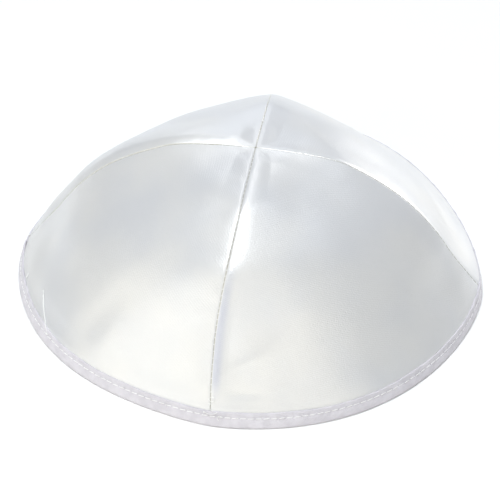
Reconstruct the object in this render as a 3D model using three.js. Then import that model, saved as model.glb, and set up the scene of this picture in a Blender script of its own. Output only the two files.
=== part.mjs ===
// A skullcap sewn from four triangular satin panels, with a folded satin tape bound round its rim.
// Millimetres, +Z up. The cap stands on its rim at z = 0, with the middle of its plan at the origin.
// Turns are degrees round the crown from +X, the right-hand seam, by way of +Y, the back seam.

import * as THREE from "three";

const RIM_RADIUS = 88;
const CROWN_HEIGHT = 60;
const CROWN_OFFSET = { x: 2.1, y: -6.5 }; // the crown's axis, from the middle of the plan

const PANEL_WALL = 1.2;
const TAPE_WALL = 1;
const GAP = 0.3; // between neighbouring pieces
const TAPE_OUTER_LEG = 6.5; // up the cap's outside from the rim
const TAPE_INNER_LEG = 6;
const TAPE_PROUD = 0.4; // how far the tape stands out of the cap's own surface
const TUCK_RISE = 6; // height over which the panels ease in to pass under the tape
const PANEL_FOOT = 3.2; // the panels' cut edge, up from the rim inside the tape's fold
const FOLD_FLOOR = 2.9; // the bottom of the tape's channel, just below that edge
const FOLD_SHOULDER = 1.1; // where the tape's rounded fold begins
const FOLD_INSET = 0.3; // the flat underside's outer edge, in from the rim
const TIP_RADIUS = 1; // where the panels' points stop, round the crown's middle

// The cap's upright section from the rim to the top of the crown, as shares of height and radius.
const PROFILE = [
  { height: 0, radius: 1 },
  { height: 0.17, radius: 0.945 },
  { height: 0.36, radius: 0.834 },
  { height: 0.56, radius: 0.731 },
  { height: 0.75, radius: 0.603 },
  { height: 0.9, radius: 0.438 },
  { height: 0.975, radius: 0.29 },
  { height: 1, radius: 0 },
];

// One row for each seam. foot and bow are the degrees that it strays at the rim and half way up,
// and reach is how far it stands out half way up, as a share of the radius there.
const SEAMS = [
  { name: "right", turn: 0, foot: 0.3, bow: -2.3, reach: 0.032 },
  { name: "back", turn: 90, foot: 1.7, bow: 3, reach: -0.021 },
  { name: "left", turn: 180, foot: 1.8, bow: -2.1, reach: 0.026 },
  { name: "front", turn: 270, foot: -1.4, bow: -2.4, reach: -0.014 },
];

// One row for each panel, from the right-hand seam round. fullness is the power of its level section
// half way up: 1 is a flat panel from seam to seam, and 2 is a full round.
const PANELS = [
  { name: "panel_back_right", fullness: 1.53 },
  { name: "panel_back_left", fullness: 1.83 },
  { name: "panel_front_left", fullness: 1.69 },
  { name: "panel_front_right", fullness: 1.68 },
];
const RIM_FULLNESS = 1.74;
const CROWN_FULLNESS = 1.165;

// How the rim strays from a circle, as waves round it, in shares of the radius.
const RIM_WAVES = [
  { count: 1, cosine: 0.0027, sine: 0.036 },
  { count: 2, cosine: -0.0005, sine: 0.0333 },
  { count: 3, cosine: -0.0315, sine: -0.0288 },
  { count: 4, cosine: -0.0011, sine: -0.0078 },
  { count: 5, cosine: 0.0043, sine: 0.0054 },
];

// Dents and swells in the satin: their middle, half breadth, half height and depth, swells negative.
const DENTS = [
  { name: "beside the front seam's foot", turn: 275.5, height: 0.22, breadth: 5, rise: 0.16, depth: 1.2 },
  { name: "front left belly", turn: 226, height: 0.3, breadth: 20, rise: 0.22, depth: -1 },
  { name: "front right hollow", turn: 318, height: 0.32, breadth: 16, rise: 0.26, depth: 1 },
];

const COLUMNS = 20; // across a panel
const ROWS = 16; // up a panel
const SEAM_CROWDING = 0.09; // how much closer the columns stand beside a seam

const RIGHT_ANGLE = Math.PI / 2;
const radians = THREE.MathUtils.degToRad;
const ease = THREE.MathUtils.smoothstep;

const satin = (name, color, roughness) =>
  new THREE.MeshStandardMaterial({ name, color, roughness, metalness: 0 });
const panelSatin = satin("white_satin", 0xf1f2f2, 0.38);
const tapeSatin = satin("binding_tape", 0xe0dee6, 0.55);

// The section runs over the crown and down the far side, so that it crosses the top level.
function crownSection() {
  const rising = PROFILE.map(
    (row) => new THREE.Vector2(row.radius * RIM_RADIUS, row.height * CROWN_HEIGHT),
  );
  const falling = rising.slice(0, -1).reverse();
  return new THREE.SplineCurve([...rising, ...falling.map((p) => new THREE.Vector2(-p.x, p.y))]);
}

const section = crownSection();
section.arcLengthDivisions = 1000;
const sectionLength = section.getLength();

// A point of the section: a distance up from the rim, then a distance out from the surface.
function sectionPoint(distance, out) {
  const share = distance / sectionLength;
  const along = section.getTangentAt(share);
  return section.getPointAt(share).add(new THREE.Vector2(along.y, -along.x).multiplyScalar(out));
}

// Places a point of the upright section at a turn round the crown, in the cap's real plan there.
function onCap(turn, radius, z) {
  const level = THREE.MathUtils.clamp(z / CROWN_HEIGHT, 0, 1);
  const belowCrown = 1 - level;
  const midway = 4 * level * belowCrown;
  const quarter = Math.min(Math.floor(turn / RIGHT_ANGLE), PANELS.length - 1);
  const within = turn - quarter * RIGHT_ANGLE;
  const before = SEAMS[quarter];
  const after = SEAMS[(quarter + 1) % SEAMS.length];

  const even = THREE.MathUtils.lerp(RIM_FULLNESS, CROWN_FULLNESS, level);
  const extra = PANELS[quarter].fullness - (RIM_FULLNESS + CROWN_FULLNESS) / 2;
  const power = even + extra * Math.sin(Math.PI * level);
  const toBefore = Math.abs(Math.cos(within)) / (1 + before.reach * midway);
  const toAfter = Math.abs(Math.sin(within)) / (1 + after.reach * midway);
  const plan = (toBefore ** power + toAfter ** power) ** (-1 / power);

  const wave = RIM_WAVES.reduce(
    (sum, row) => sum + row.cosine * Math.cos(row.count * turn) + row.sine * Math.sin(row.count * turn),
    0,
  );
  const strayBefore = before.foot * belowCrown + before.bow * midway;
  const strayAfter = after.foot * belowCrown + after.bow * midway;
  const stray = THREE.MathUtils.lerp(strayBefore, strayAfter, within / RIGHT_ANGLE);
  const angle = turn + radians(stray);
  const reach = radius * plan * (1 + wave * belowCrown);
  return new THREE.Vector3(
    CROWN_OFFSET.x + reach * Math.cos(angle),
    CROWN_OFFSET.y + reach * Math.sin(angle),
    z,
  );
}

function dentDepth(turn, z) {
  return DENTS.reduce((sum, dent) => {
    const aside = (turn - radians(dent.turn)) / radians(dent.breadth);
    const above = (z / CROWN_HEIGHT - dent.height) / dent.rise;
    return sum + dent.depth * Math.exp(-aside * aside - above * above);
  }, 0);
}

// Joins loops of points into one closed body. The loops either meet again, as round a ring,
// or end in two caps, each laddered between a loop's first half and its second.
function bodyThrough(loops, meetsAgain) {
  const size = loops[0].length;
  const triangles = [];
  const joined = meetsAgain ? loops.length : loops.length - 1;
  for (let j = 0; j < joined; j += 1) {
    const here = j * size;
    const next = ((j + 1) % loops.length) * size;
    for (let i = 0; i < size; i += 1) {
      const up = (i + 1) % size;
      triangles.push(here + i, next + i, next + up);
      triangles.push(here + i, next + up, here + up);
    }
  }
  if (!meetsAgain) {
    const last = (loops.length - 1) * size;
    for (let i = 0; i < size / 2 - 1; i += 1) {
      const across = size - 1 - i;
      triangles.push(i, i + 1, across - 1);
      triangles.push(i, across - 1, across);
      triangles.push(last + i, last + across - 1, last + i + 1);
      triangles.push(last + i, last + across, last + across - 1);
    }
  }
  const geometry = new THREE.BufferGeometry().setFromPoints(loops.flat());
  geometry.setIndex(triangles);
  geometry.computeVertexNormals();
  return geometry;
}

// The share of the way across a panel at which a column stands.
function columnShare(column) {
  const even = column / COLUMNS;
  return even - SEAM_CROWDING * Math.sin(2 * Math.PI * even);
}

const clearOfTape = TAPE_OUTER_LEG + GAP;

// A panel's rows: its cut edge, the tape's upper edge, then evenly up to its point.
function rowDistance(row) {
  const top = sectionLength / 2 - TIP_RADIUS;
  return row === 0 ? PANEL_FOOT : THREE.MathUtils.lerp(clearOfTape, top, (row - 1) / (ROWS - 1));
}

// A panel's wall at one column: up its outside, then back down its inside.
function panelLoop(quarter, column) {
  const share = columnShare(column);
  const turn = (quarter + share) * RIGHT_ANGLE;
  const place = (row, inward) => {
    const distance = rowDistance(row);
    const free = ease(distance, clearOfTape, clearOfTape + TUCK_RISE);
    const tuck = (TAPE_WALL + GAP - TAPE_PROUD) * (1 - free);
    const dent = dentDepth(turn, sectionPoint(distance, 0).y) * free;
    const point = sectionPoint(distance, -tuck - dent - inward);
    const seamGap = GAP / 2 / Math.max(point.x, TIP_RADIUS);
    const kept = THREE.MathUtils.lerp(seamGap, RIGHT_ANGLE - seamGap, share);
    return onCap(quarter * RIGHT_ANGLE + kept, point.x, point.y);
  };
  const rows = Array.from({ length: ROWS + 1 }, (_, row) => row);
  const outside = rows.map((row) => place(row, 0));
  const inside = rows.reverse().map((row) => place(row, PANEL_WALL));
  return [...outside, ...inside];
}

function panel(row, quarter) {
  const columns = Array.from({ length: COLUMNS + 1 }, (_, column) => panelLoop(quarter, column));
  const mesh = new THREE.Mesh(bodyThrough(columns, false), panelSatin);
  mesh.name = row.name;
  return mesh;
}

// The tape's section: a flat underside, then up the outside, round the channel and down the inside.
function tapeSection() {
  const outerFace = TAPE_PROUD;
  const channelOuter = outerFace - TAPE_WALL;
  const channelInner = channelOuter - GAP - PANEL_WALL - GAP;
  const innerFace = channelInner - TAPE_WALL;
  const innerFoot = sectionPoint(TAPE_INNER_LEG / 2, innerFace);
  return [
    new THREE.Vector2(RIM_RADIUS - FOLD_INSET, 0),
    sectionPoint(FOLD_SHOULDER, outerFace),
    sectionPoint(TAPE_OUTER_LEG / 2, outerFace),
    sectionPoint(TAPE_OUTER_LEG, outerFace),
    sectionPoint(TAPE_OUTER_LEG, channelOuter),
    sectionPoint(FOLD_FLOOR, channelOuter),
    sectionPoint(FOLD_FLOOR, channelInner),
    sectionPoint(TAPE_INNER_LEG, channelInner),
    sectionPoint(TAPE_INNER_LEG, innerFace),
    innerFoot,
    new THREE.Vector2(innerFoot.x, 0),
  ];
}

function binding() {
  const outline = tapeSection();
  const loops = [];
  for (let column = 0; column < PANELS.length * COLUMNS; column += 1) {
    const quarter = Math.floor(column / COLUMNS);
    const turn = (quarter + columnShare(column % COLUMNS)) * RIGHT_ANGLE;
    loops.push(outline.map((point) => onCap(turn, point.x, point.y)));
  }
  const mesh = new THREE.Mesh(bodyThrough(loops, true), tapeSatin);
  mesh.name = "rim_binding";
  return mesh;
}

const cap = new THREE.Group();
cap.add(...PANELS.map(panel), binding());

export default cap;
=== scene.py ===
import math
import random
from collections import namedtuple

import bmesh
import bpy
import numpy as np
from mathutils import Matrix, Vector


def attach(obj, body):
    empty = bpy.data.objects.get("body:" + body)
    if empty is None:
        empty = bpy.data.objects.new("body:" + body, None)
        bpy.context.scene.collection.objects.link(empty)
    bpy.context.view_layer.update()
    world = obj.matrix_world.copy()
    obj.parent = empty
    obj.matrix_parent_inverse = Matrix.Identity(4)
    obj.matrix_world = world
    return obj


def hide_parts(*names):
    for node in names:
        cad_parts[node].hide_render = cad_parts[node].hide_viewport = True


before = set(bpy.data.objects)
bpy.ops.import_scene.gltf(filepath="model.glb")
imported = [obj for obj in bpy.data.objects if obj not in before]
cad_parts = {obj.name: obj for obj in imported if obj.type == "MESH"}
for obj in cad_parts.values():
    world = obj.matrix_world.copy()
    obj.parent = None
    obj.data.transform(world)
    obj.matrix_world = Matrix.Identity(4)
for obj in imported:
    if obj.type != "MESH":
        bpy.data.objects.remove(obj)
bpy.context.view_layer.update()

# ---------------------------------------------------------------------------------------------
# Camera. It looks down on the cap from in front and a little to the right, from arm's length,
# through a long lens, as a catalogue picture is taken.
# ---------------------------------------------------------------------------------------------
MM = 0.001
LOOK_AZIMUTH = math.radians(9.06)
LOOK_ELEVATION = math.radians(40.08)
LOOK_DISTANCE = 660 * MM
LENS = 128.3  # millimetres, on a sensor 36 mm wide
CROWN_AXIS_POINT = Vector((2.1, -6.5, 26.4)) * MM
AIM_LEFT = 2.0 * MM  # the camera aims a little left of that point, and below it
AIM_BELOW = 11.4 * MM
NEAREST_SEEN = 50 * MM

back = Vector((
    math.sin(LOOK_AZIMUTH) * math.cos(LOOK_ELEVATION),
    -math.cos(LOOK_AZIMUTH) * math.cos(LOOK_ELEVATION),
    math.sin(LOOK_ELEVATION),
))
right = Vector((math.cos(LOOK_AZIMUTH), math.sin(LOOK_AZIMUTH), 0))
upward = back.cross(right)
camera = bpy.data.objects.new("camera", bpy.data.cameras.new("camera"))
camera.data.lens = LENS
camera.location = CROWN_AXIS_POINT + back * LOOK_DISTANCE
aim = CROWN_AXIS_POINT - right * AIM_LEFT - upward * AIM_BELOW
camera.rotation_euler = (aim - camera.location).to_track_quat("-Z", "Y").to_euler()
camera.data.clip_start = NEAREST_SEEN
bpy.context.scene.collection.objects.link(camera)
bpy.context.scene.camera = camera

# ---------------------------------------------------------------------------------------------
# Panels. Four triangles of white polyester satin, sewn edge to edge with the seams turned in and
# pressed to one side, so that each seam is a fine line between rounded edges. The cloth stands by
# its own stiffness, nearly flat between the seams, and dips a little above the tape.
# ---------------------------------------------------------------------------------------------
RIM_RADIUS = 88 * MM
CROWN_HEIGHT = 60 * MM
CROWN_OFFSET = (2.1 * MM, -6.5 * MM)
SATIN_THICKNESS = 0.45 * MM
TAPE_TOP = 6.5 * MM  # the binding's upper edge, up the cloth from the rim

SectionRow = namedtuple("SectionRow", "height radius")
SECTION = [
    SectionRow(0, 1),
    SectionRow(0.17, 0.945),
    SectionRow(0.36, 0.834),
    SectionRow(0.56, 0.731),
    SectionRow(0.75, 0.603),
    SectionRow(0.9, 0.438),
    SectionRow(0.975, 0.29),
    SectionRow(1, 0),
]

# turn is a seam's place round the crown, in degrees from +X. foot and bow are the degrees that it
# strays from there at the rim and half way up, and reach is how far it stands out there.
# lap is the side that its allowances are pressed to: 1 for the panel after it, -1 for the one
# before. lift and spread are how far they hold the cloth up and how far from the seam that reaches,
# above the height lift_from, and sink is how far the cloth falls away past them.
# ridge is how far the panels fall away from the seam on both sides, roll is how wide the rounded
# edges of the seam are, and showing is how strong the painted shade is over the allowances under it.
Seam = namedtuple("Seam", "name turn foot bow reach lap lift lift_from spread sink ridge roll showing")
SEAMS = [
    Seam("right", 0, 0.3, -2.3, 0.032, 1, 0.25 * MM, 0, 6 * MM, 0, 1.3 * MM, 0.16 * MM, 0.1),
    Seam("back", 90, 1.7, 3.0, -0.021, -1, 0.25 * MM, 0, 6 * MM, 0, 0.5 * MM, 0.16 * MM, 0.2),
    Seam("left", 180, 1.8, -2.1, 0.026, -1, 0, 0, 6 * MM, 0, 1.3 * MM, 0.16 * MM, 0.1),
    Seam("front", 270, -1.4, -2.4, -0.014, 1, 0.12 * MM, 60 * MM, 6.5 * MM, 0.5 * MM, 0, 0.45 * MM, 1),
]
PanelRow = namedtuple("PanelRow", "name fullness")
PANELS = [
    PanelRow("back_right", 1.53),
    PanelRow("back_left", 1.83),
    PanelRow("front_left", 1.69),
    PanelRow("front_right", 1.68),
]
RIM_FULLNESS = 1.74
CROWN_FULLNESS = 1.165
RimWave = namedtuple("RimWave", "count cosine sine")
RIM_WAVES = [
    RimWave(1, 0.0027, 0.036),
    RimWave(2, -0.0005, 0.0333),
    RimWave(3, -0.0315, -0.0288),
    RimWave(4, -0.0011, -0.0078),
    RimWave(5, 0.0043, 0.0054),
]


def section_table(steps=2000):
    """The cap's upright section at close steps along a curve through SECTION: distance up the cloth
    from the rim, radius and height there, and the direction of the cloth."""
    rising = np.array([(row.radius * RIM_RADIUS, row.height * CROWN_HEIGHT) for row in SECTION])
    falling = rising[-2::-1] * (-1, 1)
    knots = np.vstack((rising[:1], rising, falling, falling[-1:]))
    place = np.linspace(0, len(SECTION) - 1, steps)
    first = np.minimum(place.astype(int), len(SECTION) - 2)
    t = (place - first)[:, None]
    before, start, end, after = (knots[first + k] for k in range(4))
    leave, arrive = (end - before) / 2, (after - start) / 2
    points = (
        (2 * start - 2 * end + leave + arrive) * t**3
        + (3 * end - 3 * start - 2 * leave - arrive) * t**2
        + leave * t
        + start
    )
    strides = np.linalg.norm(np.diff(points, axis=0), axis=1)
    distance = np.concatenate(([0], np.cumsum(strides)))
    along = np.gradient(points, distance, axis=0)
    along /= np.linalg.norm(along, axis=1)[:, None]
    return distance, points, along


up_table, point_table, along_table = section_table()
CLOTH_HEIGHT = up_table[-1]  # from the rim to the top of the crown, along the cloth


def section_point(up, out):
    """Radius and height of the section, a distance up the cloth and a distance out from it."""
    on = np.clip(up, 0, CLOTH_HEIGHT)
    along_r = np.interp(on, up_table, along_table[:, 0])
    along_z = np.interp(on, up_table, along_table[:, 1])
    radius = np.interp(on, up_table, point_table[:, 0]) + (up - on) * along_r + out * along_z
    height = np.interp(on, up_table, point_table[:, 1]) + (up - on) * along_z - out * along_r
    return radius, height


def on_plan(turn, radius, height):
    """Places in the cap, with the round section drawn out to the cap's own plan. turn is in
    degrees round the crown from +X."""
    turn = np.asarray(turn, float)
    level = np.clip(height / CROWN_HEIGHT, 0, 1)
    midway = 4 * level * (1 - level)
    quarter = np.clip(np.floor(turn / 90), 0, 3).astype(int)
    within = turn - 90 * quarter
    following = (quarter + 1) % 4
    reach = np.array([seam.reach for seam in SEAMS])
    foot = np.array([seam.foot for seam in SEAMS])
    bow = np.array([seam.bow for seam in SEAMS])
    fullness = np.array([panel.fullness for panel in PANELS])[quarter]

    even = RIM_FULLNESS + (CROWN_FULLNESS - RIM_FULLNESS) * level
    extra = fullness - (RIM_FULLNESS + CROWN_FULLNESS) / 2
    power = even + extra * np.sin(np.pi * level)
    to_before = np.abs(np.cos(np.radians(within))) / (1 + reach[quarter] * midway)
    to_after = np.abs(np.sin(np.radians(within))) / (1 + reach[following] * midway)
    plan = (to_before**power + to_after**power) ** (-1 / power)

    wave = sum(
        row.cosine * np.cos(np.radians(row.count * turn))
        + row.sine * np.sin(np.radians(row.count * turn))
        for row in RIM_WAVES
    )
    stray_before = foot[quarter] * (1 - level) + bow[quarter] * midway
    stray_after = foot[following] * (1 - level) + bow[following] * midway
    angle = np.radians(turn + stray_before + (stray_after - stray_before) * within / 90)
    reach_out = radius * plan * (1 + wave * (1 - level))
    return np.stack((
        CROWN_OFFSET[0] + reach_out * np.cos(angle),
        CROWN_OFFSET[1] + reach_out * np.sin(angle),
        height + 0 * angle,
    ), axis=-1)


def on_cap(turn, up, out):
    """Places on the cap: round it by turn, up the cloth from the rim, and out from its surface."""
    radius, height = section_point(up, out)
    return on_plan(turn, radius, height)


def ease(value, start, end):
    """Rises smoothly from 0 at start to 1 at end."""
    t = np.clip((value - start) / (end - start), 0, 1)
    return t * t * (3 - 2 * t)


# Soft folds in the satin: the middle, half length, half width, how far the length leans up from
# level, and depth, which is negative where the cloth swells.
Fold = namedtuple("Fold", "name turn up length width lean depth")
FOLDS = [
    Fold("front_left_belly", 236, 28 * MM, 40 * MM, 24 * MM, 0, -0.8 * MM),
    Fold("front_left_hollow", 213, 56 * MM, 34 * MM, 24 * MM, 20, 0.8 * MM),
    Fold("front_right_hollow", 326, 38 * MM, 26 * MM, 34 * MM, 0, 0.9 * MM),
    Fold("front_left_crease", 230, 20 * MM, 17 * MM, 6 * MM, 70, 0.35 * MM),
    Fold("front_left_long_crease", 244, 46 * MM, 30 * MM, 9 * MM, 62, 0.4 * MM),
    Fold("pulled_by_front_seam", 277, 23 * MM, 9 * MM, 2.4 * MM, 24, 0.42 * MM),
    Fold("pulled_further_out", 279, 13 * MM, 8 * MM, 2.4 * MM, 4, 0.36 * MM),
    Fold("pulled_upper", 284, 25 * MM, 15 * MM, 5.0 * MM, 42, 0.42 * MM),
]
# Rounded edges beside the seams: the seam and the side of it, how high the cloth rises over the
# seam, how far from it, and between which heights up the cloth that comes in.
Crest = namedtuple("Crest", "seam side height width foot full")
SEAM_FOOT = TAPE_TOP + 18 * MM  # from the tape up to there, the seams' shapes come in
CRESTS = [
    Crest("left", -1, 1.6 * MM, 5.2 * MM, TAPE_TOP, SEAM_FOOT),
    Crest("front", 1, 0.55 * MM, 7 * MM, 50 * MM, 90 * MM),
]
CREST_BACK = 30 * MM  # where the panel is level with the seam again
CREST_TOP = CLOTH_HEIGHT - 13 * MM  # from there to the crown it dies out
CROWN_TIP = CLOTH_HEIGHT - 1 * MM  # where the seams' shapes have died out
CROWN_START = CLOTH_HEIGHT - 8 * MM  # and where they start to
OTHER_SEAM = 10 * MM  # nearer than this to the panel's other seam, they die out too
OTHER_SEAM_SHARE = 0.7  # or than this share of the panel, where it is narrow
TURN_IN_DEPTH = 0.24 * MM  # where each panel's edge goes down into the seam
TURN_IN_AT_CROWN = 0.35  # share of that depth
RIDGE_WIDTH = 7 * MM
RIDGE_BACK = 45 * MM  # where the panel has come back up
LIFT_START = 14 * MM  # over this much of the height, either side of lift_from, the lift comes in
LIFT_WHOLE = 0.4  # of a seam's spread, out from the seam, where the lift is highest
LIFT_GONE = 4  # times the spread, where it has died out
SINK_START = 1.2 * MM
SINK_WIDTH = 6 * MM
SINK_BACK = 26 * MM  # where the cloth has come back up
SINK_FOOT = (10 * MM, 20 * MM)  # up the cloth, where it comes in
SINK_TOP = (62 * MM, 43.4 * MM)  # where it has gone, and where it starts to go
PUCKER_REACH = 4 * MM
PUCKER_START = (0.2 * MM, 1.5 * MM)
TUCK_DEPTH = 0.05 * MM  # where the tape presses the cloth in
TUCK_RISE = 9 * MM
HOLLOW_START = TAPE_TOP + 0.7 * MM
HOLLOW_DEPTH = 1.1 * MM
HOLLOW_RISE = 7 * MM  # above the tape, where the dip is deepest
HELD_BY_SEAM = 5 * MM  # waves and folds stay this far off the seams
# Loose waves in the cloth: the number that their random draw starts from, how many there are, the
# longest and the shortest, and their height.
Waves = namedtuple("Waves", "seed count longest shortest height")
BROAD_WAVES = Waves(20, 9, 70 * MM, 18 * MM, 1.1 * MM)
GATHERS = Waves(40, 8, 16 * MM, 5 * MM, 0.18 * MM)  # drawn up by the tape's stitching
GATHER_REACH = 7 * MM
GATHER_UPRIGHT = 0.2  # of their change across the cloth, how much they change up it
PUCKERS = Waves(7, 6, 9 * MM, 3 * MM, 0.2 * MM)  # drawn up by a seam's stitching


def ripples(waves, place, across, up):
    """The height of loose waves in flat cloth. place tells one lot of the same kind from another."""
    draw = random.Random(waves.seed + place)
    total = 0
    for _ in range(waves.count):
        length = waves.longest * (waves.shortest / waves.longest) ** draw.random()
        heading = draw.uniform(0, math.pi)
        number = 2 * math.pi / length
        phase = draw.uniform(0, 2 * math.pi)
        along = number * math.cos(heading) * across + number * math.sin(heading) * up
        total = total + length / waves.longest * np.sin(along + phase)
    return waves.height * (total / waves.count)


def seam_relief(seam, side, distance, to_other, up):
    """The cloth's height beside a seam. side is 1 on the panel after the seam, -1 before it, and
    to_other is the distance to the panel's other seam, where this one's pull has died out."""
    crown = ease(up, CROWN_TIP, CROWN_START)
    turn_in = -TURN_IN_DEPTH * (TURN_IN_AT_CROWN + (1 - TURN_IN_AT_CROWN) * crown)
    turn_in = turn_in * np.exp(-((distance / seam.roll) ** 1.5))
    away = (1 - np.exp(-distance / RIDGE_WIDTH)) * ease(distance, RIDGE_BACK, 2 * RIDGE_WIDTH)
    ridge = -seam.ridge * away * crown * ease(up, TAPE_TOP, SEAM_FOOT)
    for crest in CRESTS:
        if crest.seam == seam.name and crest.side == side:
            rise = np.sin(np.pi / 2 * np.minimum(distance / crest.width, 1))
            rise = rise * ease(distance, CREST_BACK, crest.width) * ease(up, crest.foot, crest.full)
            ridge = crest.height * rise * ease(up, CROWN_TIP, CREST_TOP)
    lap = sink = 0
    if side == seam.lap:
        lap = seam.lift * crown * ease(distance, 0, LIFT_WHOLE * seam.spread)
        lap = lap * ease(up, seam.lift_from - LIFT_START, seam.lift_from + LIFT_START)
        lap = lap * ease(distance, LIFT_GONE * seam.spread, LIFT_WHOLE * seam.spread)
        sink = -seam.sink * ease(distance, SINK_START, SINK_WIDTH)
        sink = sink * ease(distance, SINK_BACK, SINK_WIDTH) * ease(up, *SINK_FOOT) * ease(up, *SINK_TOP)
    pucker = ripples(PUCKERS, seam.turn, 0, up)
    pucker = pucker * np.exp(-distance / PUCKER_REACH) * ease(distance, *PUCKER_START) * crown
    narrow = OTHER_SEAM_SHARE * (distance + to_other)
    died_out = ease(to_other, 0, np.minimum(OTHER_SEAM, narrow))
    return turn_in + (ridge + lap + sink + pucker) * died_out


def tape_hollow(up):
    """How far the cloth dips just above the tape, which holds the rim out."""
    above = np.maximum(up - HOLLOW_START, 0) / HOLLOW_RISE
    return -HOLLOW_DEPTH * above * np.exp(1 - above)


def fold_relief(fold, turn, up):
    """The height of one soft fold over the cap's smooth form."""
    radius, _ = section_point(fold.up, 0)
    across = radius * np.radians(turn - fold.turn)
    above = up - fold.up
    lean = math.radians(fold.lean)
    along = across * math.cos(lean) + above * math.sin(lean)
    beside = above * math.cos(lean) - across * math.sin(lean)
    return -fold.depth * np.exp(-((along / fold.length) ** 2) - (beside / fold.width) ** 2)


def from_seams(quarter, turn, up):
    """Distances along the cloth from a panel's first seam and from its second."""
    radius, _ = section_point(up, 0)
    return radius * np.radians(turn - 90 * quarter), radius * np.radians(90 * quarter + 90 - turn)


def panel_relief(quarter, turn, up):
    """The height of a panel's outside over the cap's smooth form."""
    before, after = SEAMS[quarter], SEAMS[(quarter + 1) % 4]
    from_before, from_after = from_seams(quarter, turn, up)
    across = (from_before - from_after) / 2
    free = ease(up, TAPE_TOP, TAPE_TOP + TUCK_RISE)
    at_seam = np.exp(-((np.minimum(from_before, from_after) / HELD_BY_SEAM) ** 2))

    relief = tape_hollow(up) - TUCK_DEPTH * (1 - free)
    for fold in FOLDS:
        if fold.turn // 90 == quarter:
            relief = relief + fold_relief(fold, turn, up) * free * (1 - at_seam)
    relief = relief + ripples(BROAD_WAVES, quarter, across, up) * free * (1 - at_seam)
    near_tape = free * np.exp(-(up - TAPE_TOP) / GATHER_REACH)
    relief = relief + ripples(GATHERS, quarter, across, up * GATHER_UPRIGHT) * near_tape
    relief = relief + seam_relief(before, 1, from_before, from_after, up)
    relief = relief + seam_relief(after, -1, from_after, from_before, up)
    return relief


PANEL_COLUMNS = 150
PANEL_ROWS = 170
SEAM_CROWDING = 0.14  # how much closer the columns stand beside a seam
PANEL_FOOT = 1.6 * MM  # the cut edge, up from the rim inside the tape
SEAM_GAP = 0.01 * MM  # from a seam to each panel's edge
SEAM_GAP_RADIUS = 1 * MM  # nearer the crown than this, the gap narrows with the panel
QUARTER_END = 89.9999  # an edge on a panel's second seam still counts as that panel's
MERGE = 0.001 * MM


def cloth_grid(name, columns, rows, place, flat, marks=None):
    """A sheet of cloth from a flat grid. place turns shares across and up into places in the
    cap, and flat turns them into metres across and up on the cut cloth, for the weave. marks
    gives a layer of values for each name in it."""
    mesh = bpy.data.meshes.new(name)
    bm = bmesh.new()
    weave = bm.loops.layers.uv.new("weave")
    bmesh.ops.create_grid(bm, x_segments=columns, y_segments=rows, size=0.5, calc_uvs=True)
    across, upward = np.array([(v.co.x + 0.5, v.co.y + 0.5) for v in bm.verts]).T
    for layer_name, mark in (marks or {}).items():
        layer = bm.verts.layers.float.new(layer_name)
        for vert, value in zip(bm.verts, mark(across, upward)):
            vert[layer] = value
    for vert, cut in zip(bm.verts, flat(across, upward)):
        for loop in vert.link_loops:
            loop[weave].uv = cut
    for vert, spot in zip(bm.verts, place(across, upward)):
        vert.co = spot
    bmesh.ops.remove_doubles(bm, verts=bm.verts, dist=MERGE)
    for face in bm.faces:
        face.smooth = True
    bm.to_mesh(mesh)
    bm.free()
    piece = bpy.data.objects.new(name, mesh)
    bpy.context.scene.collection.objects.link(piece)
    return piece


def thicken(piece, thickness, inner_material=0):
    """Gives a sheet its thickness, inwards from the modelled side."""
    wall = piece.modifiers.new("thickness", "SOLIDIFY")
    wall.thickness = thickness
    wall.offset = -1
    wall.material_offset = inner_material
    return wall


class Wire:
    """A socket in a material. Arithmetic on wires adds the Math nodes that work it out."""

    def __init__(self, tree, socket=None):
        self.tree = tree
        self.socket = socket

    def node(self, kind, settings=None, inputs=None, output=0):
        """Adds a node: its settings first, then the values or wires of its sockets."""
        made = self.tree.nodes.new(kind)
        for name, value in (settings or {}).items():
            setattr(made, name, value)
        for name, value in (inputs or {}).items():
            if isinstance(value, Wire):
                self.tree.links.new(value.socket, made.inputs[name])
            else:
                made.inputs[name].default_value = value
        return Wire(self.tree, made.outputs[output] if len(made.outputs) else None)

    def math(self, operation, *values):
        """A Math node's result."""
        return self.node("ShaderNodeMath", {"operation": operation}, dict(enumerate(values)))

    def mix(self, low, high):
        """A colour between low and high, by this wire's share."""
        return self.node("ShaderNodeMix", {"data_type": "RGBA"}, {0: self, 6: low, 7: high}, 2)

    def ramp(self, start, end):
        """Rises smoothly from 0 where this wire is start to 1 where it is end."""
        settings = {"interpolation_type": "SMOOTHSTEP"}
        return self.node("ShaderNodeMapRange", settings, {0: self, 1: start, 2: end})

    def __add__(self, other):
        return self.math("ADD", self, other)

    def __radd__(self, other):
        return self.math("ADD", other, self)

    def __mul__(self, other):
        return self.math("MULTIPLY", self, other)

    def __rmul__(self, other):
        return self.math("MULTIPLY", other, self)


def new_material(name):
    """An empty material, and a wire to add its nodes with."""
    material = bpy.data.materials.new(name)
    material.use_nodes = True
    material.node_tree.nodes.clear()
    return material, Wire(material.node_tree)


SATIN_COLOR = (0.72, 0.725, 0.745, 1)
SATIN_WARM = (0.765, 0.76, 0.755, 1)
ALLOWANCE_SHADE_COLOR = (0.58, 0.595, 0.67, 1)  # painted shade, darker and bluer, where the seam allowances lie under the satin
SEAM_SHADE_COLOR = (0.50, 0.49, 0.42, 1)  # painted shade down in the seams
TWILL_SLANT = math.radians(-63)
TWILL_SHARE = 0.15  # of the weave's height, and the threads' own unevenness is the rest
SATIN_ROUGHNESS = 0.28
SATIN_DULLED = 0.06  # how much rougher it is in places
WRONG_SIDE_COLOR = (0.74, 0.75, 0.77, 1)
WRONG_SIDE_PALE = (0.8, 0.81, 0.82, 1)


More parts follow.
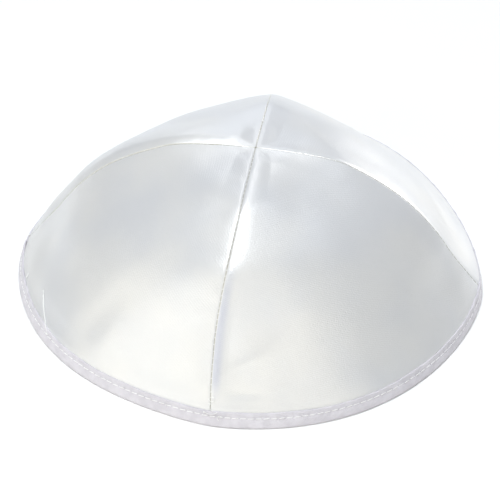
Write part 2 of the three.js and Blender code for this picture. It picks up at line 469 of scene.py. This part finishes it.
def satin_material():
    material, wire = new_material("white_satin")
    cut = wire.node("ShaderNodeUVMap", {"uv_map": "weave"})
    place = wire.node("ShaderNodeTexCoord", output=3)
    drift = wire.node("ShaderNodeTexNoise", None, {"Vector": place, "Scale": 28.0, "Detail": 2.0})
    speckle = wire.node("ShaderNodeTexNoise", None, {"Vector": place, "Scale": 2400.0, "Detail": 2.0})
    turned = wire.node("ShaderNodeMapping", None, {"Vector": cut, "Rotation": (0, 0, TWILL_SLANT)})
    twill = wire.node(
        "ShaderNodeTexWave", {"wave_type": "BANDS", "bands_direction": "X"},
        {"Vector": turned, "Scale": 420.0, "Distortion": 0.6, "Detail": 1.0, "Detail Scale": 2.0},
        output=1,
    )
    plain = drift.ramp(0.35, 0.65).mix(SATIN_COLOR, SATIN_WARM)
    # painted shade: darker and bluer where the seam allowances lie under the satin
    allowance_shade_mask = wire.node("ShaderNodeAttribute", {"attribute_name": "painted_allowance_shade"}, output=2)
    # painted shade: olive-grey down in the seams, where each panel's edge turns in
    edge = wire.node("ShaderNodeAttribute", {"attribute_name": "painted_seam_shade"}, output=2)
    color = edge.mix(allowance_shade_mask.mix(plain, ALLOWANCE_SHADE_COLOR), SEAM_SHADE_COLOR)
    height = twill * TWILL_SHARE + speckle * (1 - TWILL_SHARE)
    bump = wire.node("ShaderNodeBump", None, {"Strength": 0.4, "Distance": 0.0002, "Height": height})
    shader = wire.node("ShaderNodeBsdfPrincipled", None, {
        "Base Color": color,
        "Roughness": SATIN_ROUGHNESS + drift * SATIN_DULLED,
        "Metallic": 0.3,
        "IOR": 1.6,
        "Normal": bump,
    })
    wire.node("ShaderNodeOutputMaterial", None, {"Surface": shader})
    return material


def inside_material():
    material, wire = new_material("satin_wrong_side")
    place = wire.node("ShaderNodeTexCoord", output=3)
    speckle = wire.node("ShaderNodeTexNoise", None, {"Vector": place, "Scale": 1200.0, "Detail": 2.0})
    bump = wire.node("ShaderNodeBump", None, {"Strength": 0.2, "Distance": 0.0002, "Height": speckle})
    shade = speckle.ramp(0.2, 0.8).mix(WRONG_SIDE_COLOR, WRONG_SIDE_PALE)
    shader = wire.node("ShaderNodeBsdfPrincipled", None, {
        "Base Color": shade, "Roughness": 0.8, "Sheen Weight": 0.2, "Normal": bump,
    })
    wire.node("ShaderNodeOutputMaterial", None, {"Surface": shader})
    return material


satin = satin_material()
wrong_side = inside_material()
# Where the allowances' painted shade comes in and dies out, out from the seam and then up the cloth:
# each pair is where there is none of it and where it is whole.
BACKING_START = (0.1 * MM, 0.6 * MM)
BACKING_END = (4.6 * MM, 1.6 * MM)
BACKING_FOOT = (8 * MM, 20 * MM)
BACKING_TOP = (66 * MM, 40 * MM)
SEAM_LINE_WIDTH = 0.2 * MM
SEAM_LINE_SHADE = 0.75
SEAM_LINE_WAVES = Waves(33, 7, 9 * MM, 1.5 * MM, 0.5)  # of that shade, not of the cloth


def painted_allowance_shade(seam, side, distance, up):
    """How strong the painted shade is beside a seam, where the seam allowances lie under the satin."""
    strip = ease(distance, *BACKING_START) * ease(distance, *BACKING_END)
    length = ease(up, *BACKING_FOOT) * ease(up, *BACKING_TOP)
    return strip * length * seam.showing * (side == seam.lap)


def painted_seam_shade(seam, side, distance, up):
    """How strong the painted shade is on the cloth's edge, where it turns down into a seam."""
    shade = SEAM_LINE_SHADE + ripples(SEAM_LINE_WAVES, seam.turn + side, 0, up)
    return np.clip(shade, 0, 1) * np.exp(-((distance / SEAM_LINE_WIDTH) ** 2))


def make_panel(quarter, row):
    """One panel, from the seam before it to the seam after it."""
    def spots(across, upward):
        share = across - SEAM_CROWDING * np.sin(2 * np.pi * across)
        up = PANEL_FOOT + (CLOTH_HEIGHT - PANEL_FOOT) * upward
        radius, _ = section_point(up, 0)
        gap = np.degrees(SEAM_GAP / np.maximum(radius, SEAM_GAP_RADIUS))
        turn = 90 * quarter + gap + (90 - 2 * gap) * share
        return turn, up

    def place(across, upward):
        turn, up = spots(across, upward)
        inside = np.clip(turn, 90 * quarter, 90 * quarter + QUARTER_END)
        return on_cap(inside, up, panel_relief(quarter, turn, up))

    def flat(across, upward):
        turn, up = spots(across, upward)
        radius, _ = section_point(up, 0)
        return np.stack((radius * np.radians(turn - 90 * quarter - 45), up), axis=-1)

    def beside_seams(mark):
        """A mark's values all over the panel, from both of its seams."""
        def values(across, upward):
            turn, up = spots(across, upward)
            before, after = SEAMS[quarter], SEAMS[(quarter + 1) % 4]
            from_before, from_after = from_seams(quarter, turn, up)
            return mark(before, 1, from_before, up) + mark(after, -1, from_after, up)
        return values

    # both marks hold painted shade: over the seam allowances, and down in the seams
    marks = {"painted_allowance_shade": beside_seams(painted_allowance_shade), "painted_seam_shade": beside_seams(painted_seam_shade)}
    piece = cloth_grid(row.name + "_panel", PANEL_COLUMNS, PANEL_ROWS, place, flat, marks)
    piece.data.materials.append(satin)
    piece.data.materials.append(wrong_side)
    thicken(piece, SATIN_THICKNESS, 1)
    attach(piece, "root")
    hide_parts("panel_" + row.name)
    return piece


panels = [make_panel(quarter, row) for quarter, row in enumerate(PANELS)]

# ---------------------------------------------------------------------------------------------
# Seam allowances. Inside the cap the two raw edges of each seam lie together, pressed to one side
# and held by nothing but the seam, so that they show as a flat strip of satin beside it.
# ---------------------------------------------------------------------------------------------
ALLOWANCE_WIDTH = 7.0 * MM
ALLOWANCE_NARROWED = 0.6  # of the cap's radius there: near the crown they are no wider
ALLOWANCE_START = 0.15 * MM  # out from the seam
ALLOWANCE_TOP = 3 * MM  # short of the crown, where all four seams meet
ALLOWANCE_THICKNESS = 0.4 * MM  # of both raw edges together
ALLOWANCE_IN_PANEL = 0.3 * SATIN_THICKNESS  # how far in they start, inside the seam's own fold
ALLOWANCE_STEP = 0.6 * MM  # from there to where they lie under the panel
ALLOWANCE_STEP_WIDTH = 1.5 * MM
ALLOWANCE_COLUMNS = 10
ALLOWANCE_ROWS = 140
FRAY = Waves(90, 5, 7 * MM, 2 * MM, 0.35 * MM)  # along the raw edge
CURL = Waves(91, 5, 30 * MM, 8 * MM, 0.5 * MM)  # of the raw edge, away from the panel


def pressed_on(seam):
    """The number of the panel that a seam's allowances lie against."""
    return (seam.turn // 90 - (seam.lap < 0)) % 4


def make_allowance(seam):
    """The two raw edges inside a seam, as one strip."""
    def spots(across, upward):
        up = TAPE_TOP + (CLOTH_HEIGHT - ALLOWANCE_TOP - TAPE_TOP) * upward
        radius, _ = section_point(up, 0)
        width = np.minimum(ALLOWANCE_WIDTH, radius * ALLOWANCE_NARROWED)
        distance = ALLOWANCE_START + (width - ALLOWANCE_START) * across
        return up, distance + across * ripples(FRAY, seam.turn, 0, up), radius

    def place(across, upward):
        up, distance, radius = spots(across, upward)
        turn = (seam.turn + seam.lap * np.degrees(distance / radius)) % 360
        curl = across**3 * (CURL.height + ripples(CURL, seam.turn, 0, up))
        lower = ALLOWANCE_STEP * ease(distance, 0, ALLOWANCE_STEP_WIDTH) + curl
        outside = panel_relief(pressed_on(seam), turn, up)
        return on_cap(turn, up, outside - ALLOWANCE_IN_PANEL - lower)

    def flat(across, upward):
        up, distance, _ = spots(across, upward)
        return np.stack((distance, up), axis=-1)

    piece = cloth_grid(seam.name + "_seam_allowance", ALLOWANCE_COLUMNS, ALLOWANCE_ROWS, place, flat)
    piece.data.materials.append(wrong_side)
    wall = thicken(piece, ALLOWANCE_THICKNESS)
    wall.offset = 1 if seam.lap < 0 else -1
    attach(piece, "root")
    return piece


# The allowances, and for each panel the ones that are pressed against it.
allowances = [make_allowance(seam) for seam in SEAMS]
for quarter, panel in enumerate(panels):
    pressed_here = [
        strip for seam, strip in zip(SEAMS, allowances) if pressed_on(seam) == quarter
    ]

# ---------------------------------------------------------------------------------------------
# Binding. One length of satin bias tape, its raw edges turned under, folded over the panels' lower
# edges and caught by a single line of lockstitch near its upper edge. Cut on the bias and pressed,
# it is duller than the panels, and it ripples a little where the stitches pull it in.
# ---------------------------------------------------------------------------------------------
TAPE_THICKNESS = 0.3 * MM
TAPE_WALL = 0.9 * TAPE_THICKNESS  # the turned edges don't quite touch the tape in front of them
TAPE_FACE = 0.4 * MM  # its outside stands this far out of the cap's surface
TAPE_BACK = -1.35 * MM  # and its inside this far in
TAPE_INNER_TOP = 6.0 * MM
TURN_UNDER = 2.6 * MM
TURN_STEPS = 6  # round a turned edge
FOLD_STEPS = 9  # round the fold at the rim
ABOVE_FOLD = 1 * MM
STITCH_LINE = 4.4 * MM  # up the cloth from the rim
STITCH_PITCH = 2.7 * MM
STITCH_ROWS = (0.8 * MM, 0.35 * MM, 0.0, -0.35 * MM, -0.8 * MM)  # of the mesh, about that line
TAPE_COLUMNS = 1300
RIM_STEPS = 1440


def turned_edge(top, middle):
    """Points round a turned edge of the tape, from the side nearer the cap's middle."""
    return [
        (top - TAPE_THICKNESS * (1 - math.sin(math.pi * step / TURN_STEPS)),
         middle - TAPE_THICKNESS * math.cos(math.pi * step / TURN_STEPS))
        for step in range(1, TURN_STEPS)
    ]


def tape_outline():
    """The tape's outer side in section, as distances up and out: from one turned-under edge over
    the outside, round the rim and up the inside to the other edge."""
    fold = (TAPE_FACE - TAPE_BACK) / 2
    middle = (TAPE_FACE + TAPE_BACK) / 2
    _, (foot, above) = section_point(np.array([0.0, ABOVE_FOLD]), middle)
    fold_up = (fold - foot) / (above - foot) * ABOVE_FOLD  # with the fold resting on the floor
    under_face, under_back = TAPE_FACE - 2 * TAPE_THICKNESS, TAPE_BACK + 2 * TAPE_THICKNESS
    outline = [(TAPE_TOP - TURN_UNDER, under_face), (TAPE_TOP - TAPE_THICKNESS, under_face)]
    outline += turned_edge(TAPE_TOP, TAPE_FACE - TAPE_THICKNESS)
    outline.append((TAPE_TOP - TAPE_THICKNESS, TAPE_FACE))
    outline += [(STITCH_LINE + row, TAPE_FACE) for row in STITCH_ROWS]
    outline.append((fold_up + ABOVE_FOLD, TAPE_FACE))
    for step in range(FOLD_STEPS + 1):
        angle = math.pi * step / FOLD_STEPS
        outline.append((fold_up - fold * math.sin(angle), middle + fold * math.cos(angle)))
    outline += [(STITCH_LINE - row, TAPE_BACK) for row in STITCH_ROWS]
    outline.append((TAPE_INNER_TOP - TAPE_THICKNESS, TAPE_BACK))
    outline += turned_edge(TAPE_INNER_TOP, TAPE_BACK + TAPE_THICKNESS)
    outline += [(TAPE_INNER_TOP - TAPE_THICKNESS, under_back), (TAPE_INNER_TOP - TURN_UNDER, under_back)]
    return np.array(outline)


def run_along(points):
    """The distance along a line of points, from its first to each."""
    return np.concatenate(([0], np.cumsum(np.linalg.norm(np.diff(points, axis=0), axis=1))))


outline = tape_outline()
outline_run = run_along(outline)
rim_turns = np.linspace(0, 360, RIM_STEPS + 1)
rim_run = run_along(on_cap(rim_turns, STITCH_LINE, TAPE_FACE))
RIM_LENGTH = rim_run[-1]
STITCHES = round(RIM_LENGTH / STITCH_PITCH)

GROOVE_DEPTH = 0.14 * MM  # along the line of stitches
GROOVE_WIDTH = 0.7 * MM
HOLE_DEPTH = 0.3 * MM  # at each needle hole
HOLE_LENGTH = 0.42 * MM
HOLE_WIDTH = 0.4 * MM
BIAS_SEED = 61
BIAS_WAVES = 10
BIAS_FEWEST, BIAS_MOST = 24, 130  # of each wave, round the rim
BIAS_SLANT = 240  # radians for each metre up the tape, at most, either way
BIAS_SWELL = 0.032 * MM
BIAS_SWELL_POWER = 0.3  # how fast the shorter waves are lower
EVEN_RIM = (1 * MM, 3 * MM)  # up the tape: below the first it has none of these waves
TAPE_JOIN = 181  # where the tape's end laps over its start, in degrees round the crown
JOIN_LENGTH = 9 * MM
JOIN_FADE = 4 * MM
JOIN_HEIGHT = 0.16 * MM
JOIN_EDGE = 0.5 * MM
JOIN_SLANT = 0.5  # how far aside the cut end runs, for its height
JOIN_FOOT = (0.5 * MM, 2 * MM)  # up the tape, where the lapped end starts to show
# How the tape's upper edge strays up and down: how far, how many times round the rim, and from
# where. It is also folded with more of it outside at the two turns in WIDER_AT.
Wander = namedtuple("Wander", "height count phase")
WANDERS = [Wander(0.12 * MM, 9, 1), Wander(0.1 * MM, 23, 4)]
WIDER_AT = (355, 190)
WIDER_BY = 0.8 * MM
WIDER_SPREAD = 24  # degrees
WANDER_FROM = 3 * MM  # up the tape


def tape_relief(turn, up, out):
    """How far the stitches and the bias stretch pull the tape in (negative) or let it out."""
    run = np.interp(turn, rim_turns, rim_run)
    pitch = RIM_LENGTH / STITCHES
    to_hole = np.abs((run / pitch) % 1 - np.round((run / pitch) % 1)) * pitch
    off_line = up - STITCH_LINE
    groove = -GROOVE_DEPTH * np.exp(-((off_line / GROOVE_WIDTH) ** 2))
    hole = -HOLE_DEPTH * np.exp(-((to_hole / HOLE_LENGTH) ** 2) - (off_line / HOLE_WIDTH) ** 2)
    draw = random.Random(BIAS_SEED)
    soft = 0
    for _ in range(BIAS_WAVES):
        count = draw.randint(BIAS_FEWEST, BIAS_MOST)
        slant = draw.uniform(-BIAS_SLANT, BIAS_SLANT)
        swell = BIAS_SWELL * (BIAS_FEWEST / count) ** BIAS_SWELL_POWER
        along = 2 * np.pi * count * run / RIM_LENGTH + slant * up
        soft = soft + swell * np.sin(along + draw.uniform(0, 2 * math.pi))
    from_join = np.radians(turn - TAPE_JOIN) * RIM_RADIUS + (up - TAPE_TOP) * JOIN_SLANT
    lapped = JOIN_HEIGHT * ease(from_join, 0, JOIN_EDGE) * ease(up, *JOIN_FOOT)
    lapped = lapped * ease(from_join, JOIN_LENGTH, JOIN_LENGTH - JOIN_FADE)
    inward = groove + hole + soft * ease(up, *EVEN_RIM)
    return np.where(out > (TAPE_FACE + TAPE_BACK) / 2, inward + lapped, -inward)


TAPE_COLOR = (0.60, 0.578, 0.625, 1)
TAPE_PALE = (0.68, 0.658, 0.705, 1)
TAPE_ROUGHNESS = 0.55
TAPE_DULLED = 0.1  # how much rougher it is in places
BIAS_ANGLE = math.radians(45)


def tape_material():
    material, wire = new_material("binding_tape")
    cut = wire.node("ShaderNodeUVMap", {"uv_map": "weave"})
    place = wire.node("ShaderNodeTexCoord", output=3)
    bias = wire.node("ShaderNodeMapping", None, {"Vector": cut, "Rotation": (0, 0, BIAS_ANGLE)})
    warp, weft = (
        wire.node("ShaderNodeTexWave", {"wave_type": "BANDS", "bands_direction": direction},
                  {"Vector": bias, "Scale": 380.0, "Distortion": 0.3}, 1)
        for direction in "XY"
    )
    slub = wire.node("ShaderNodeTexNoise", None, {"Vector": place, "Scale": 260.0, "Detail": 3.0})
    bump = wire.node("ShaderNodeBump", None, {
        "Strength": 0.25, "Distance": 0.0002, "Height": warp * 0.5 + weft * 0.5 + slub * 0.8,
    })
    shader = wire.node("ShaderNodeBsdfPrincipled", None, {
        "Base Color": slub.ramp(0.3, 0.7).mix(TAPE_COLOR, TAPE_PALE),
        "Roughness": TAPE_ROUGHNESS + slub * TAPE_DULLED,
        "IOR": 1.5,
        "Sheen Weight": 0.2,
        "Normal": bump,
    })
    wire.node("ShaderNodeOutputMaterial", None, {"Surface": shader})
    return material


def on_outline(along, values):
    """One of the outline's values, at a share of the way through its points."""
    return np.interp(along * (len(outline) - 1), np.arange(len(outline)), values)


def make_tape():
    """The tape, all the way round the rim, folded and with its edges turned under."""
    def place(across, along):
        turn = across * 360
        up, out = on_outline(along, outline[:, 0]), on_outline(along, outline[:, 1])
        wander = sum(
            row.height * np.sin(np.radians(turn) * row.count + row.phase) for row in WANDERS
        )
        for side in WIDER_AT:
            off_side = (turn - side + 180) % 360 - 180
            wander = wander + WIDER_BY * np.exp(-((off_side / WIDER_SPREAD) ** 2))
        lift = wander * ease(up, WANDER_FROM, TAPE_TOP)
        return on_cap(turn, up + lift, out + tape_relief(turn, up, out))

    def flat(across, along):
        run = np.interp(across * 360, rim_turns, rim_run)
        return np.stack((run, on_outline(along, outline_run)), axis=-1)

    piece = cloth_grid("folded_tape", TAPE_COLUMNS, len(outline) - 1, place, flat)
    bm = bmesh.new()  # as the outline runs, the grid's faces point into the fold
    bm.from_mesh(piece.data)
    bmesh.ops.reverse_faces(bm, faces=bm.faces)
    bm.to_mesh(piece.data)
    bm.free()
    piece.data.materials.append(tape_material())
    thicken(piece, TAPE_WALL)
    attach(piece, "root")
    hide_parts("rim_binding")


make_tape()

# ---------------------------------------------------------------------------------------------
# Stitches. White polyester thread: the lockstitch that holds the tape, seen on both its sides,
# and the small bars of thread that show in the seams where the pull of the cloth opens them.
# ---------------------------------------------------------------------------------------------
THREAD_COLOR = (0.85, 0.85, 0.86, 1)
THREAD_PALE = (0.93, 0.93, 0.92, 1)
BAR_SIDES = 8
BAR_RINGS = 5


def thread_material():
    material, wire = new_material("white_thread")
    place = wire.node("ShaderNodeTexCoord", output=3)
    fuzz = wire.node("ShaderNodeTexNoise", None, {"Vector": place, "Scale": 2500.0, "Detail": 2.0})
    bump = wire.node("ShaderNodeBump", None, {"Strength": 0.3, "Distance": 0.0001, "Height": fuzz})
    shader = wire.node("ShaderNodeBsdfPrincipled", None, {
        "Base Color": fuzz.ramp(0.2, 0.8).mix(THREAD_COLOR, THREAD_PALE),
        "Roughness": 0.5, "Sheen Weight": 0.3, "Normal": bump,
    })
    wire.node("ShaderNodeOutputMaterial", None, {"Surface": shader})
    return material


thread = thread_material()


def add_stitch(bm, start, end, radius):
    """A short round bar of thread from start to end, with rounded ends. It is made by itself and
    then added, because operators are slow in a mesh that already holds many."""
    start, end = Vector(start), Vector(end)
    half = (end - start).length / 2
    bar = bmesh.new()
    bmesh.ops.create_uvsphere(bar, u_segments=BAR_SIDES, v_segments=BAR_RINGS, radius=radius)
    for vert in bar.verts:
        vert.co.z += math.copysign(max(half - radius, 0), vert.co.z)
    turn = (end - start).to_track_quat("Z", "Y").to_matrix().to_4x4()
    bmesh.ops.transform(bar, verts=bar.verts, matrix=Matrix.Translation((start + end) / 2) @ turn)
    mesh = bpy.data.meshes.new("stitch")
    bar.to_mesh(mesh)
    bar.free()
    bm.from_mesh(mesh)
    bpy.data.meshes.remove(mesh)


def thread_piece(name, bars, radius):
    """Many stitches as one piece."""
    mesh = bpy.data.meshes.new(name)
    bm = bmesh.new()
    for start, end in bars:
        add_stitch(bm, start, end, radius)
    for face in bm.faces:
        face.smooth = True
    bm.to_mesh(mesh)
    bm.free()
    mesh.materials.append(thread)
    piece = bpy.data.objects.new(name, mesh)
    bpy.context.scene.collection.objects.link(piece)
    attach(piece, "root")


THREAD_RADIUS = 0.14 * MM
THREAD_SINK = 0.1 * MM  # its middle lies this far inside the tape's surface
STITCH_SEED = 83
STITCH_HALF = 0.40  # of the pitch, from a stitch's middle to its end
STITCH_SLANT = 0.09 * MM
STITCH_STRAY = 0.08 * MM


def tape_stitches(name, out):
    """The lockstitch on one side of the tape: a bar for each stitch, between two needle holes."""
    draw = random.Random(STITCH_SEED)
    pitch = RIM_LENGTH / STITCHES
    bars = []
    for number in range(STITCHES):
        ends = []
        for way in (-1, 1):
            run = (number + 0.5 + way * STITCH_HALF) * pitch
            up = STITCH_LINE + draw.uniform(-STITCH_STRAY, STITCH_STRAY) + way * STITCH_SLANT
            ends.append(on_cap(np.interp(run, rim_run, rim_turns), up, out))
        bars.append(ends)
    thread_piece(name, bars, THREAD_RADIUS)


tape_stitches("binding_stitches_outside", TAPE_FACE - THREAD_SINK)
tape_stitches("binding_stitches_inside", TAPE_BACK + THREAD_SINK)

SEAM_SEED = 5
SEAM_PITCH = 2.4 * MM
SEAM_PITCH_STRAY = 0.15  # share of the pitch, either way
SEAM_BARS_FROM = TAPE_TOP + 2 * MM
SEAM_BARS_TO = CLOTH_HEIGHT - 4 * MM
SEAM_BAR_RADIUS = 0.12 * MM
SEAM_BAR_HALF = 0.3 * MM
SEAM_BAR_RISE = (0.1 * MM, 0.4 * MM)
SEAM_BAR_OUT = -0.16 * MM
SEAM_BAR_STRAY = (-0.08 * MM, 0.05 * MM)


def seam_stitches(seam):
    """The bars of thread across one seam, down between the panels' edges."""
    draw = random.Random(seam.turn + SEAM_SEED)
    bars = []
    up = SEAM_BARS_FROM
    while up < SEAM_BARS_TO:
        radius, _ = section_point(up, 0)
        half = np.degrees(SEAM_BAR_HALF / radius)
        rise = draw.uniform(*SEAM_BAR_RISE)
        out = tape_hollow(up) + SEAM_BAR_OUT + draw.uniform(*SEAM_BAR_STRAY)
        start = on_cap((seam.turn - half) % 360, up, out)
        bars.append((start, on_cap((seam.turn + half) % 360, up + rise, out)))
        up += SEAM_PITCH * draw.uniform(1 - SEAM_PITCH_STRAY, 1 + SEAM_PITCH_STRAY)
    thread_piece(seam.name + "_seam_stitches", bars, SEAM_BAR_RADIUS)


for seam in SEAMS:
    seam_stitches(seam)

# ---------------------------------------------------------------------------------------------
# Thread ends. Where the sewing starts and stops, the thread is run back over itself and snipped,
# and a small knot and a short end of it stay on the cloth.
# ---------------------------------------------------------------------------------------------
# turn, up and out are the knot's place. heading is the way that its end runs off over the cloth,
# in degrees from level, and curl is how far that bends in each millimetre.
ThreadEnd = namedtuple("ThreadEnd", "turn up out heading length curl")
THREAD_ENDS = [
    ThreadEnd(269.9, 9.0 * MM, 0.35 * MM, 230, 3.5 * MM, 40),
    ThreadEnd(270.9, 11.5 * MM, 0.35 * MM, 285, 4.0 * MM, -50),
    ThreadEnd(268.4, 5.6 * MM, 0.45 * MM, 340, 5.0 * MM, 12),
    ThreadEnd(272.6, 4.6 * MM, 0.45 * MM, 150, 3.5 * MM, 55),
    ThreadEnd(179.4, 7.4 * MM, 0.10 * MM, 215, 7.0 * MM, 14),
    ThreadEnd(181.8, 5.0 * MM, 0.50 * MM, 30, 6.0 * MM, -22),
    ThreadEnd(196.8, 8.6 * MM, 0.35 * MM, 80, 2.2 * MM, 30),
    ThreadEnd(207.6, 14.6 * MM, 0.3 * MM, 327, 15.5 * MM, -0.5),
    ThreadEnd(208.8, 13.4 * MM, 0.3 * MM, 318, 11.0 * MM, 1),
    ThreadEnd(216.6, 5.0 * MM, 0.45 * MM, 20, 1.6 * MM, 40),
    ThreadEnd(90.6, 97 * MM, 0.05 * MM, 120, 1.8 * MM, 60),
]
KNOT_RADIUS = 0.32 * MM
KNOT_HEIGHT = 0.8  # of its width
KNOT_TURNS = 2
KNOT_CORNERS = 6
KNOT_LIFT = 0.1 * MM
THREAD_STEP = 0.5 * MM
LOOSE_RADIUS = 0.09 * MM
LOOSE_ON_TAPE = TAPE_FACE + 0.08 * MM
TAPE_REACH = TAPE_TOP + 0.6 * MM


def over_cloth(up, out):
    """How far out a loose thread lies: in the dip above the tape, and over the tape's edge."""
    return max(out + tape_hollow(up), LOOSE_ON_TAPE if up < TAPE_REACH else 0)


def thread_path(end):
    """Places along a thread end: two turns of a knot, then its tail over the cloth."""
    radius, _ = section_point(end.up, 0)
    spots = []
    for step in range(KNOT_TURNS * KNOT_CORNERS + 1):
        angle = 2 * math.pi * step / KNOT_CORNERS
        x, y = KNOT_RADIUS * math.cos(angle), KNOT_RADIUS * KNOT_HEIGHT * math.sin(angle)
        spots.append((x, y, end.out + KNOT_LIFT * (1 + math.sin(angle / 2 + 1))))
    heading = math.radians(end.heading)
    for step in range(int(end.length / THREAD_STEP)):
        x += THREAD_STEP * math.cos(heading)
        y += THREAD_STEP * math.sin(heading)
        heading += math.radians(end.curl) * THREAD_STEP / MM
        spots.append((x, y, end.out + KNOT_LIFT))
    return [
        on_cap(end.turn + math.degrees(x / radius), end.up + y, over_cloth(end.up + y, out))
        for x, y, out in spots
    ]


line = bpy.data.curves.new("thread_ends", "CURVE")
line.dimensions = "3D"
line.bevel_depth = LOOSE_RADIUS
line.bevel_resolution = 2
line.use_fill_caps = True
line.resolution_u = 3
for end in THREAD_ENDS:
    path = thread_path(end)
    spline = line.splines.new("NURBS")
    spline.points.add(len(path) - 1)
    for point, spot in zip(spline.points, path):
        point.co = (*spot, 1)
    spline.order_u = 4
    spline.use_endpoint_u = True
line.materials.append(thread)
thread_ends = bpy.data.objects.new("thread_ends", line)
bpy.context.scene.collection.objects.link(thread_ends)
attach(thread_ends, "root")

# ---------------------------------------------------------------------------------------------
# Floor and lights. A pale studio table, and large soft lamps round and over it. The satin mirrors
# the lamps, warm in front and cool above, and they leave its lower and shaded parts a soft grey.
# ---------------------------------------------------------------------------------------------
FLOOR_HALF = 2.0
FLOOR_COLOR = (0.93, 0.93, 0.93, 1)
STUDIO_COLOR = (0.86, 0.915, 1, 1)
STUDIO_STRENGTH = 0.245

floor_mesh = bpy.data.meshes.new("floor")
bm = bmesh.new()
bmesh.ops.create_grid(bm, x_segments=1, y_segments=1, size=FLOOR_HALF)
bm.to_mesh(floor_mesh)
bm.free()
floor = bpy.data.objects.new("floor", floor_mesh)
bpy.context.scene.collection.objects.link(floor)
floor_material, wire = new_material("pale_floor")
floor_shader = wire.node("ShaderNodeBsdfPrincipled", None, {
    "Base Color": FLOOR_COLOR, "Roughness": 0.6,
})
wire.node("ShaderNodeOutputMaterial", None, {"Surface": floor_shader})
floor_mesh.materials.append(floor_material)

# azimuth is in degrees round from the front towards +X, elevation is in degrees above the floor,
# sizes are in metres and power is in watts.
Light = namedtuple("Light", "name azimuth elevation distance width height power color")
LIGHTS = [
    Light("front_left", 312, 20, 1.2, 0.8, 0.8, 2.9, (1, 0.95, 0.80)),
    Light("front", 350, 18, 1.2, 0.8, 0.8, 2.5, (1, 0.95, 0.80)),
    Light("front_right", 34, 27, 1.2, 0.8, 0.8, 1.9, (1, 0.95, 0.82)),
    Light("back_right", 148, 10, 2.0, 0.95, 0.9, 15, (1, 0.97, 0.9)),
    Light("back", 174, 22, 2.0, 0.9, 0.5, 0.7, (0.93, 0.96, 1)),
    Light("back_left", 197, 18, 2.0, 0.8, 0.85, 2.3, (0.93, 0.96, 1)),
    Light("over_back", 190, 56, 1.4, 0.12, 0.85, 1.7, (0.97, 0.98, 0.97)),
    Light("overhead", 338, 79, 1.4, 0.45, 0.45, 13.0, (0.91, 0.955, 1)),
    Light("over_left", 272, 70, 1.35, 0.5, 0.5, 0.5, (0.95, 0.98, 1)),
    Light("over_right", 108, 68, 1.4, 0.4, 0.4, 0.6, (0.95, 0.98, 1)),
]
for row in LIGHTS:
    lamp = bpy.data.lights.new(row.name, "AREA")
    lamp.shape = "RECTANGLE"
    lamp.size = row.width
    lamp.size_y = row.height
    lamp.energy = row.power
    lamp.color = row.color
    holder = bpy.data.objects.new(row.name, lamp)
    azimuth, elevation = math.radians(row.azimuth), math.radians(row.elevation)
    towards = Vector((
        math.sin(azimuth) * math.cos(elevation),
        -math.cos(azimuth) * math.cos(elevation),
        math.sin(elevation),
    ))
    holder.location = towards * row.distance
    holder.rotation_euler = towards.to_track_quat("Z", "Y").to_euler()
    bpy.context.scene.collection.objects.link(holder)

world = bpy.data.worlds.new("studio")
world.use_nodes = True
world.node_tree.nodes["Background"].inputs["Color"].default_value = STUDIO_COLOR
world.node_tree.nodes["Background"].inputs["Strength"].default_value = STUDIO_STRENGTH
bpy.context.scene.world = world
bpy.context.scene.view_settings.view_transform = "Standard"
